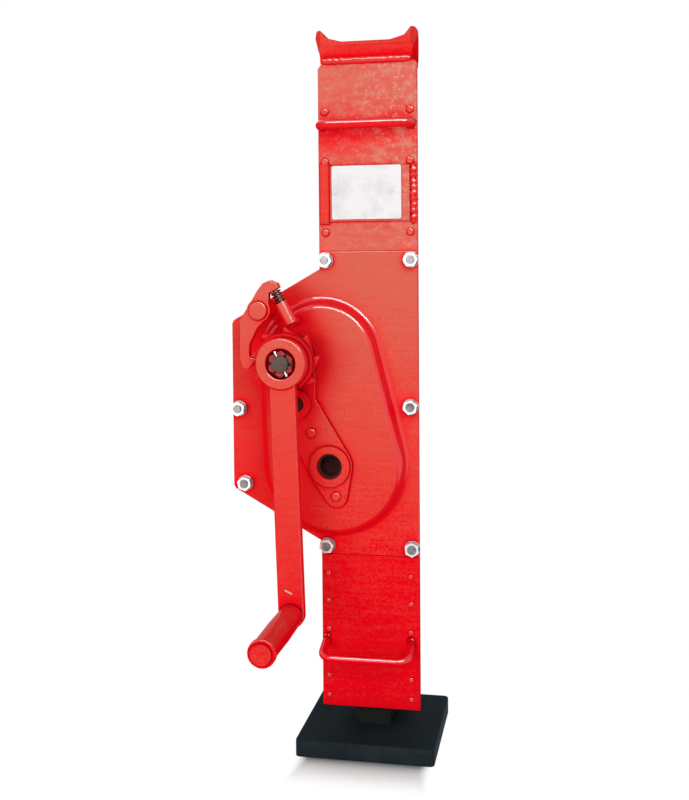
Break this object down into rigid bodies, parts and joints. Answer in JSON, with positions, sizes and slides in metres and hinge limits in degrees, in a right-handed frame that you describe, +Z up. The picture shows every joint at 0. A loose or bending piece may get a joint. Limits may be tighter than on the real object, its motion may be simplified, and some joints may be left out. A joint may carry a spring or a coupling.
{
  "type": "rack and pinion jack",
  "caption": "Hand-cranked rack and pinion jack: a red box column with a claw and a rear toe climbs a toothed bar on a square foot, held by a ratchet brake.",
  "frame": {"origin": "under the middle of the square foot, on the ground", "axes": "+Z up along the toothed bar, the front plates and the crank face -Y, the gear case and crank are at -X"},
  "size_m": [0.215, 0.2818, 0.729],
  "materials": {
    "red_paint": "semi-gloss red paint over rough steel",
    "black_paint": "black paint",
    "steel": "machined, greased",
    "dark_steel": "oiled bare steel",
    "zinc": "zinc plated",
    "bronze": "plain bearing bronze",
    "silver": "bare satin sheet",
    "friction": "pressed brake lining"
  },
  "bodies": {
    "stand": {"base_plate": "black_paint", "rack": "steel"},
    "crank": {"crankshaft": "dark_steel", "brake_flange": "dark_steel", "friction_disc_rear": "friction", "friction_disc_front": "friction", "crank_hub": "red_paint", "crank_arm": "red_paint", "castle_nut": "dark_steel", "split_pin": "zinc", "grip_pin": "steel", "grip_end_washer": "red_paint"},
    "ratchet": {"ratchet_wheel": "red_paint"},
    "hook": {"pawl": "red_paint"},
    "grip": {"grip_sleeve": "red_paint"},
    "counter": {"countershaft": "steel", "countershaft_gear": "steel"},
    "output": {"output_pinion_shaft": "steel", "output_gear": "steel"},
    "column": {"back_plate": "red_paint", "right_side_bar": "red_paint", "left_side_bar_upper": "red_paint", "left_side_bar_lower": "red_paint", "case_rim": "red_paint", "upper_front_plate": "red_paint", "lower_front_plate": "red_paint", "gear_cover": "red_paint", "bearing_plate": "red_paint", "bearing_plate_rivets": "red_paint", "crank_front_bush": "bronze", "crank_rear_bush": "bronze", "countershaft_front_bush": "red_paint", "countershaft_rear_bush": "bronze", "output_front_bush": "red_paint", "output_rear_bush": "bronze", "cover_studs": "dark_steel", "cover_nuts": "zinc", "cover_washers": "zinc", "upper_rivets": "red_paint", "lower_rivets": "red_paint", "upper_handle": "red_paint", "lower_handle": "red_paint", "lifting_claw": "red_paint", "lifting_toe": "red_paint", "lower_guide_collar": "dark_steel", "rack_guide_shoe": "dark_steel", "plate_holder": "red_paint", "nameplate": "silver", "nameplate_pins": "silver", "pawl_pivot": "red_paint", "pawl_spacer": "red_paint", "spring_guide": "red_paint", "pawl_spring": "dark_steel"}
  },
  "joints": [
    {"name": "lift", "type": "slide", "parent": "stand", "child": "column", "axis": [0, 0, 1], "range_m": [0, 0.35001]},
    {"name": "crank_turn", "type": "hinge", "parent": "column", "child": "crank", "pos_m": [-0.07721, -0.05, 0.39573], "axis": [0, 1, 0], "range_deg": [0, 15040.14]},
    {"name": "countershaft_turn", "type": "hinge", "parent": "column", "child": "counter", "pos_m": [-0.07213, 0, 0.35116], "axis": [0, 1, 0], "range_deg": [-3343.25, 0]},
    {"name": "output_turn", "type": "hinge", "parent": "column", "child": "output", "pos_m": [-0.038, 0, 0.2883], "axis": [0, 1, 0], "range_deg": [0, 836.56]},
    {"name": "ratchet_turn", "type": "hinge", "parent": "column", "child": "ratchet", "pos_m": [-0.07721, -0.05, 0.39573], "axis": [0, 1, 0], "range_deg": [0, 6]},
    {"name": "pawl_swing", "type": "hinge", "parent": "column", "child": "hook", "pos_m": [-0.1041, -0.05, 0.4472], "axis": [0, 1, 0], "range_deg": [0, 10], "stiffness_Nm_per_rad": 0.6, "springref_deg": -20.05, "deforming": ["pawl_spring"]},
    {"name": "grip_spin", "type": "hinge", "parent": "crank", "child": "grip", "pos_m": [-0.06959, -0.13, 0.14635], "axis": [0, 1, 0], "continuous": true}
  ],
  "couplings": [
    {"joint": "lift", "follows": "crank_turn", "m_per_rad": 0.0013333},
    {"joint": "countershaft_turn", "follows": "crank_turn", "ratio": -0.22222},
    {"joint": "output_turn", "follows": "crank_turn", "ratio": 0.055556}
  ]
}
